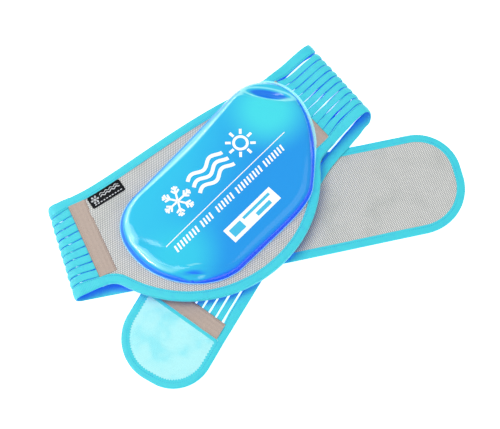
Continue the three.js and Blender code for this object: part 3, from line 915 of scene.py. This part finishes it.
def flat_strip(name, place_at, length, half, thick, step=3.0):
    """A thin tape with soft edges. `place_at` maps along, across and height into space."""
    along = np.linspace(-length / 2, length / 2, 13)
    across = np.arange(-half, half + step / 2, 2 * half / round(2 * half / step))
    edge = 1 - np.abs(2 * along / length) ** 8
    rings, uv = [], []
    for y in across:
        pucker = 0.12 * math.sin(y / 2.3) + 0.1 * math.sin(y / 5.1)
        top = thick * (0.55 + 0.45 * edge) + pucker * (np.abs(along) > length * 0.36)
        loop_x = np.concatenate([along, along[::-1]])
        loop_z = np.concatenate([top, np.zeros(len(along))])
        rings.append(place_at(loop_x, y, loop_z))
        uv.append(np.column_stack([np.full(len(loop_x), y), loop_x]))
    return mesh_piece(name, np.concatenate(rings), tube_faces(len(across), 2 * len(along)),
                      np.concatenate(uv))


def tape_pair(wing):
    """The tape over the pod's end seam and the one at the elastic's outer end."""
    end = wing_end(wing) - TAPE / 2
    lean = math.tan(wing.skew)
    inner_half = wing.width / 2 - BINDING + 0.4
    outer_half = wing.width / 2 - wing.binding - 0.8
    lay = {
        "inner": ("pod", inner_half, lambda x, y, z: place(wing, x - TAPE / 2, y, z + 1.05)),
        "outer": (f"{wing.name}_end", outer_half,
                  lambda x, y, z: place(wing, end + x - y * lean, y, -z - 0.9)),
    }
    for label, (body, half, place_at) in lay.items():
        name = f"{wing.name}_{label}_tape"
        piece = flat_strip(name + "_cloth", place_at, TAPE, half, 0.85)
        finish_piece(piece, MAT.tape, body, [name])
        for k, x in enumerate((-TAPE / 2 + 2, TAPE / 2 - 2)):
            across = np.arange(-half + 1, half - 1, STITCH_PITCH)
            points = np.array([place_at(np.array([x]), y, np.array([0.86]))[0] for y in across])
            tips = np.array([place_at(np.array([x]), y, np.array([1.86]))[0] for y in across])
            row = stitches(f"{name}_stitches_{k + 1}", points, tips - points)
            finish_piece(row, MAT.tan_thread, body)


# ---- Pod --------------------------------------------------------------------------------


def pod_relief(x, y, border):
    """The face of the pod: padded, with slow waves."""
    swell = 0.65 * ramp(border, 2, 22)
    waves = 0.22 * np.sin(x / 13 + 0.6 * np.sin(y / 19)) * np.sin(y / 15 + 1)
    return swell + waves * ramp(border, 3, 14)


def pod():
    outline = pod_outline(BINDING - 2.4, -1)
    points, faces, uv = pad("face", outline, 0.9, pod_relief, 46, centre=(4, 34))
    points[:, 2] += 18.0
    face = mesh_piece("pod_mesh_face", points, faces, uv)
    finish_piece(face, MAT.knit, "pod", ["pod_mesh_panel"])
    points, faces, uv = pad("back", outline, 0.6, lambda x, y, b: 0.0 * x, 30, centre=(4, 34))
    swell = 0.5 * ramp(18 - np.abs(points[:, 2] * 0), 0, 20)
    points[:, 2] = np.where(points[:, 2] < -0.3, -swell, points[:, 2]) + 13.9
    back = mesh_piece("pod_back_cloth", points, faces, uv)
    finish_piece(back, MAT.shell, "pod", ["pod_outer_shell"])
    points, faces, uv = pad("fill", outline, 2.2, lambda x, y, b: 0.3 + 0.0 * x, 12,
                            centre=(4, 34))
    points[:, 2] += 16.2
    fill = mesh_piece("pod_padding", points, faces, uv)
    finish_piece(fill, MAT.core, "pod", ["pod_insulation", "pod_pocket_liner"])
    inward = {"lower": 1, "upper": -1}
    for label, path in zip(("lower", "upper"), pod_edges(0, 1.5)):
        path = resampled(path, int(len(path) * 0.9), closed=False)
        edge = binding(f"pod_{label}_edge", path, inward[label], BINDING, POD_TOP, POD_BOTTOM,
                       wave=0.1)
        finish_piece(edge, MAT.binding, "pod", [f"pod_{label}_binding"])
        for face, height, up in (("face", POD_TOP + 0.06, 1), ("back", POD_BOTTOM - 0.02, -1)):
            points, ups = row_along(path, inward[label], BINDING - 2.0, height)
            row = stitches(f"pod_{label}_stitches_{face}", points, ups * up)
            finish_piece(row, MAT.thread, "pod")


LABEL = SimpleNamespace(x=-84.6, y=71.6, length=39, width=14, turn=math.radians(1.5), top=19.0)


def rounded_box(half_x, half_y, radius, steps=6):
    corners = []
    for sx, sy, start in ((1, 1, 0), (-1, 1, 1), (-1, -1, 2), (1, -1, 3)):
        centre = (sx * (half_x - radius), sy * (half_y - radius))
        corners.append(arc(centre, radius, start * math.pi / 2, (start + 1) * math.pi / 2,
                           radius * math.pi / 2 / steps))
    return np.concatenate(corners)


def flake_strokes(radius):
    """A six-armed snow crystal as strokes from its centre."""
    strokes = []
    for arm in range(6):
        turn = arm * math.pi / 3
        tip = np.array([math.cos(turn), math.sin(turn)]) * radius
        strokes.append(np.array([tip * 0.02, tip]))
        for reach, size in ((0.5, 0.34), (0.76, 0.24)):
            for side in (-1, 1):
                lean = turn + side * math.pi / 4
                twig = np.array([math.cos(lean), math.sin(lean)]) * radius * size
                strokes.append(np.array([tip * reach, tip * reach + twig]))
    return strokes


def sun_strokes(radius):
    """A ring with eight rays."""
    ring = arc((0, 0), radius * 0.45, 0, 2 * math.pi, 1.2)
    strokes = [ring]
    for ray in range(8):
        turn = ray * math.pi / 4
        way = np.array([math.cos(turn), math.sin(turn)])
        strokes.append(np.array([way * radius * 0.64, way * radius]))
    return strokes


def label_piece():
    outline = resampled(rounded_box(LABEL.length / 2, LABEL.width / 2, 1.4), 80)
    points, faces, uv = pad("label", outline, 0.3, lambda x, y, b: 0.3 + 0.1 * np.sin(x / 6), 8)
    turn, lift = place_flat(LABEL), LABEL.top
    points = turn(points) + [0, 0, lift]
    piece = mesh_piece("woven_label_cloth", points, faces, uv)
    finish_piece(piece, MAT.label, "pod", ["woven_label"])
    marks = []
    for stroke in flake_strokes(4.6):
        marks.append((stroke + [-13, 1], 0.5))
    x = np.linspace(-6.5, 16.5, 50)
    for level, width in ((3.6, 0.55), (1.0, 0.85)):
        marks.append((np.column_stack([x, level + 0.9 * np.sin(x * 1.1)]), width))
    for start in np.arange(-16, 15, 3.4):
        marks.append((np.array([[start, -4.3], [start + 1.9, -4.3]]), 0.9))
    ink = print_on("label_marks", marks, lambda flat: turn(
        np.column_stack([flat, 0.38 + 0.1 * np.sin(flat[:, 0] / 6)])) + [0, 0, lift])
    finish_piece(ink, MAT.yarn, "pod")


def place_flat(spot):
    cos, sin = math.cos(spot.turn), math.sin(spot.turn)
    basis = np.array([[cos, sin, 0], [-sin, cos, 0], [0, 0, 1]])
    return lambda points: points @ basis + [spot.x, spot.y, 0]


def print_on(name, marks, surface, thick=0.12):
    """Flat strokes laid on a surface, given as (path, width), as closed thin solids."""
    points, faces = [], []
    for path, width in marks:
        length = np.linalg.norm(np.diff(path, axis=0), axis=1).sum()
        path = resampled(path, max(int(length / 1.2), 3), closed=False)
        normal = path_normals(path, 1)
        lanes = max(int(width / 1.5), 1) + 1
        offsets = np.linspace(-width / 2, width / 2, lanes)
        top = [surface(path + normal * offset) for offset in offsets]
        ring = np.stack(top + [t - [0, 0, thick] for t in top[::-1]], axis=1)
        base = sum(len(p) for p in points)
        faces += [tuple(v + base for v in f) for f in tube_faces(len(path), 2 * lanes)]
        points.append(ring.reshape(-1, 3))
    return mesh_piece(name, np.concatenate(points), faces, smooth=False)


# ---- Tongues ----------------------------------------------------------------------------


def bend_tongue(piece):
    """Bakes a tongue piece's transform into its mesh; nothing lets it bend at its root."""
    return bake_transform(piece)


def tongue_sheet(wing, name, low, high, relief, rings=30, reach=0.0, inset=6.2):
    path = tongue_outline(wing, inset, -reach)
    outline = resampled(path, 260)
    centre = (wing.tongue_length * 0.48, 0)
    points, faces, uv = pad(name, outline, 0, relief, rings, centre)
    lower = np.arange(len(points)) > len(points) // 2 - 1
    points[:, 2] = np.where(lower, low, high + points[:, 2])
    if low < 0 and high < 0:
        points[:, 2] = np.where(lower, high - (relief(points[:, 0], points[:, 1], 20.0) * 0.6), low)
    return mesh_piece(name, tongue_place(wing, points), faces, uv)


def tongue_relief(x, y, border):
    """Soft padding with a few slow folds."""
    return (0.5 * ramp(border, 1, 14) + 0.22 * np.sin(x / 17 + 1.3 * np.sin(y / 23))
            * ramp(border, 3, 12))


def tongue(wing, face_name, face_node, face_material, back_material):
    half = TONGUE_TOP
    face = tongue_sheet(wing, face_name, 0.7, 1.45, tongue_relief, reach=FLEX_GAP + 1)
    finish_piece(face, face_material, nodes=[face_node])
    core = tongue_sheet(wing, f"{wing.name}_tongue_filling", -0.9, 0.65,
                        lambda x, y, b: 0.0 * x, 10, FLEX_GAP)
    finish_piece(core, MAT.core, nodes=[f"{wing.name}_tongue_core"])
    back = tongue_sheet(wing, f"{wing.name}_tongue_back", -0.95, -1.6,
                        lambda x, y, b: 0.0 * x, 20, FLEX_GAP + 1)
    finish_piece(back, back_material, nodes=[f"{wing.name}_tongue_back_face"])
    path = tongue_outline(wing, 0, -FLEX_GAP)
    path = resampled(path, int(len(path) * (1.0 if wing is LEFT else 1.6)), closed=False)
    to_space = lambda points: tongue_place(wing, points)
    edge = binding(f"{wing.name}_tongue_edge", path, 1, wing.binding, half, -half, to_space,
                   wave=0.12, teeth=0.0 if wing is LEFT else 1.3)
    finish_piece(edge, MAT.binding, nodes=[f"{wing.name}_tongue_binding"])
    made = [face, core, back, edge]
    for side, label in ((1, "face"), (-1, "back")):
        points, ups = row_along(path, 1, wing.binding - 2.4, side * (half + 0.08), to_space)
        row = stitches(f"{wing.name}_tongue_stitches_{label}", points, ups * 1.0)
        made.append(finish_piece(row, MAT.thread))
    slant = math.tan(wing.skew)
    span = wing.tongue_width / 2 - wing.binding + 1
    turned = flat_strip(f"{wing.name}_turned_edge", lambda x, y, z: tongue_place(
        wing, np.column_stack([x - FLEX_GAP * 0.7 + y * slant, np.full_like(x, y), z + 1.1])),
        3.4, span, 1.0)
    made.append(finish_piece(turned, MAT.binding))
    for piece in made:
        bend_tongue(piece)


# ---- Gel pack ---------------------------------------------------------------------------


def pack_rim():
    return resampled(joined(
        bezier((-78, 65), (-28, 67), (24, 70), (72, 72)),
        bezier((72, 72), (105, 75), (130, 52), (124, 18)),
        bezier((124, 18), (117, -13), (94, -37), (62, -61)),
        bezier((62, -61), (48, -72), (20, -71), (0, -71)),
        line((0, -71), (-56, -70)),
        bezier((-56, -70), (-92, -66), (-122, -26), (-122, 10)),
        bezier((-122, 10), (-122, 42), (-108, 62), (-78, 65)))[::-1], 300)


def pack_place(points):
    return place_flat(PACK)(points) + [0, 0, PACK.base]


SHOULDER = 15  # width of the pack's round side


def hollow(x, y, centre, along, size, turn):
    """A bell-shaped dent, long in the direction `turn`."""
    dx, dy = x - centre[0], y - centre[1]
    u = dx * math.cos(turn) + dy * math.sin(turn)
    v = dy * math.cos(turn) - dx * math.sin(turn)
    return np.exp(-(u / along) ** 2 - (v / size) ** 2)


def pack_relief(x, y, border):
    """The pillow's top: steep round sides, a flattish middle, a lens-shaped dent at the hook
    end, a pinch at the lower left and shallow creases."""
    inside = np.clip(border / SHOULDER, 0, 1)
    dome = (PACK.height - 0.7) * np.sqrt(np.clip(1 - (1 - inside) ** 2, 0, 1))
    dome = dome - 0.9 * (1 - ramp(border, SHOULDER, 58))
    dent = 7.5 * hollow(x, y, (104, 44), 25, 6.0, math.radians(-57))
    lip = 1.9 * hollow(x, y, (95, 38), 26, 3.6, math.radians(-57))
    ridge = 0.8 * np.exp(-((border - 8) / 1.7) ** 2) * ramp(x, 66, 92) * (1 - ramp(y, 20, 40))
    pinch = 6.0 * hollow(x, y, (-95, -43), 13, 3.4, math.radians(-42))
    fold = 2.0 * hollow(x, y, (-88, -37), 15, 2.8, math.radians(-38))
    crease = 1.6 * hollow(x, y, (-104, 16), 15, 3.0, math.radians(-62))
    swell = 0.35 * np.sin(x / 21 + 0.8) * np.sin(y / 17)
    edge = ramp(border, 1, 9)
    return dome + (lip + fold + ridge - dent - pinch - crease + swell) * edge


def gel_pack():
    rim = pack_rim()
    points, faces, uv = pad("pillow", rim, -0.5, pack_relief, 48, centre=(0, 0))
    pillow = mesh_piece("pack_pillow", pack_place(points), faces, uv)
    pinned = np.where(np.abs(points[:, 2] - 0.5) < 0.02)[0]
    inflate(pillow, pinned, 1.6, 1.1, slack=0.004)
    finish_piece(pillow, MAT.gel, "gel_pack", ["pack_top_film", "pack_gel"])
    normals = path_normals(np.vstack([rim, rim[:1]]), 1)[:-1]
    x, y = rim[:, 0], rim[:, 1]
    wide = 0.25 + 2.6 * ramp(x, 60, 86) * (1 - ramp(-y, 22, 48))
    section = np.array([(-2.0, 0.1), (-2.0, 0.9), (0.2, 0.95), (0.9, 0.85), (1, 0.5), (0.9, 0.1)])
    rings = []
    for point, normal, reach in zip(rim, -normals, wide):
        out = np.where(section[:, 0] < 0, section[:, 0], section[:, 0] * reach)
        rings.append(np.column_stack([point + out[:, None] * normal, section[:, 1]]))
    weld = mesh_piece("pack_weld", pack_place(np.concatenate(rings)),
                      tube_faces(len(rim), len(section), closed=True))
    finish_piece(weld, MAT.film, "gel_pack", ["pack_bottom_film"])
    pack_print(pillow)


def on_pillow(pillow):
    """Finds the pillow's top under points given in the pack's frame."""
    mesh = pillow.data
    tree = BVHTree.FromPolygons([v.co for v in mesh.vertices],
                                [tuple(p.vertices) for p in mesh.polygons])

    def surface(flat):
        placed = pack_place(np.column_stack([flat, np.full(len(flat), 30.0)]))
        world = (placed + POD) * MM
        found = []
        for start in world:
            hit = tree.ray_cast(Vector(start), Vector((0, 0, -1)))[0]
            found.append(hit[2] / MM if hit else PACK.base)
        placed[:, 2] = np.array(found) + 0.16
        return placed

    return surface


def pack_print(pillow):
    """Generic marks: a snow crystal, a sun and waves over a thin rule, with bars below it."""
    surface = on_pillow(pillow)
    marks = [(stroke + [-50, 25], 2.1) for stroke in flake_strokes(17)]
    marks += [(stroke + [41, 24], 2.9) for stroke in sun_strokes(16)]
    x = np.linspace(-28, 20, 60)
    for level in (33, 24, 15):
        marks.append((np.column_stack([x, level + 2.8 * np.sin(x / 4.4)]), 4.0))
    marks.append((np.array([[-93, -1.5], [82, -0.5]]), 0.9))
    for start, count in ((-88, 8), (-51, 4), (-29, 6), (0, 9), (41, 7)):
        for k in range(count):
            foot = np.array([start + k * 4.2, -14.5])
            marks.append((np.array([foot, foot + [1.6, 7.5]]), 2.0))
    white = print_on("pack_print_white", marks + [(np.array([[-41, -40], [26, -39.8]]), 17.5)],
                     surface)
    finish_piece(white, MAT.white_ink, "gel_pack")
    bars = [(np.array([[a, y], [a + length, y]]), w) for a, y, length, w in (
        (-37, -40, 16, 9.5), (-17, -36.2, 38, 3.0), (-4, -43.4, 20, 4.4))]
    cyan = print_on("pack_print_cyan", bars, lambda flat: surface(flat) + [0, 0, 0.14])
    finish_piece(cyan, MAT.cyan_ink, "gel_pack")


# ---- Stage ------------------------------------------------------------------------------


def area_light(name, place_at, aim, size, power, shine_only=False):
    light = bpy.data.lights.new(name, "AREA")
    light.shape = "RECTANGLE"
    light.size, light.size_y = size
    light.energy = power
    lamp = bpy.data.objects.new(name, light)
    lamp.visible_diffuse = not shine_only
    lamp.location = place_at
    lamp.rotation_euler = (Vector(aim) - Vector(place_at)).to_track_quat("-Z", "Y").to_euler()
    bpy.context.scene.collection.objects.link(lamp)


def stage():
    size = 4000
    corners = [(-size, -size, 0), (size, -size, 0), (size, size, 0), (-size, size, 0)]
    floor = mesh_piece("floor", np.array(corners) - POD, [(0, 1, 2, 3)], np.array(corners)[:, :2])
    floor.data.materials.append(MAT.floor)
    world = bpy.data.worlds.new("soft_white")
    world.use_nodes = True
    tree = world.node_tree
    glossy = tree.nodes.new("ShaderNodeLightPath").outputs["Is Glossy Ray"]
    strength = tree.nodes.new("ShaderNodeMapRange")
    tree.links.new(glossy, strength.inputs[0])
    strength.inputs[3].default_value, strength.inputs[4].default_value = 0.76, 0.2
    tree.links.new(strength.outputs[0], tree.nodes["Background"].inputs[1])
    tree.nodes["Background"].inputs[0].default_value = (1, 1, 1, 1)
    bpy.context.scene.world = world
    area_light("key", (-0.7, 0.5, 1.5), (0, 0, 0), (0.9, 0.9), 10.5)
    area_light("fill", (0.9, -0.6, 1.4), (0, 0, 0), (1.2, 1.2), 4)
    area_light("left_strip", (-0.85, 0.1, 0.58), (0, 0, 0), (0.6, 0.06), 7, shine_only=True)
    area_light("top_strip", (-0.25, 0.95, 0.5), (0, 0, 0), (1.1, 0.06), 4, shine_only=True)
    bpy.context.scene.view_settings.view_transform = "Standard"


def camera():
    origin = Vector(POD) * MM
    lens = bpy.data.cameras.new("camera")
    lens.lens, lens.sensor_width = 82.3, 36
    view = bpy.data.objects.new("camera", lens)
    view.location = origin + Vector((-0.1914, -0.3671, 1.1276))
    aim = origin + Vector((0.0321, -0.0229, 0))
    view.rotation_euler = (aim - view.location).to_track_quat("-Z", "Y").to_euler()
    bpy.context.scene.collection.objects.link(view)
    bpy.context.scene.camera = view


pod()
label_piece()
for wing in (LEFT, RIGHT):
    inner_bands(wing)
    edge_bands(wing)
    tape_pair(wing)
tongue(LEFT, "left_tongue_mesh", "left_tongue_loop_face", MAT.knit,
       MAT.knit)
tongue(RIGHT, "hook_pad_face", "hook_pad", MAT.hook, MAT.shell)
gel_pack()
stage()
camera()
